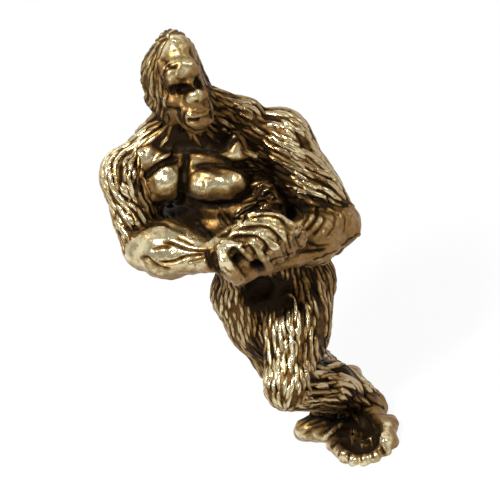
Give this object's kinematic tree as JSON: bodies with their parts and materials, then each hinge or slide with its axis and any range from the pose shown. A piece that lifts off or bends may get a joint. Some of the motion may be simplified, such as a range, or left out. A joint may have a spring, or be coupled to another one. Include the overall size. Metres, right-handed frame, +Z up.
{
  "type": "gorilla statue",
  "caption": "Small solid cast brass gorilla with folded arms, standing on flat soles with one leg crossed in front, a desk or tea tray ornament.",
  "frame": {"origin": "on the floor under the middle of the figure's box", "axes": "+Z up from the soles to the crown, the figure faces -Y, its own right side is at -X"},
  "size_m": [0.0238, 0.0272, 0.0507],
  "materials": {
    "antique_brass": "antiqued: dark patina in the recesses, polished high spots"
  },
  "bodies": {
    "root": {"head": "antique_brass", "torso": "antique_brass", "hips": "antique_brass", "right_upper_arm": "antique_brass", "left_upper_arm": "antique_brass", "right_forearm": "antique_brass", "left_forearm": "antique_brass", "right_hand": "antique_brass", "left_hand": "antique_brass", "right_thigh": "antique_brass", "left_thigh": "antique_brass", "right_shin": "antique_brass", "left_shin": "antique_brass", "right_foot": "antique_brass", "left_foot": "antique_brass"}
  },
  "joints": []
}
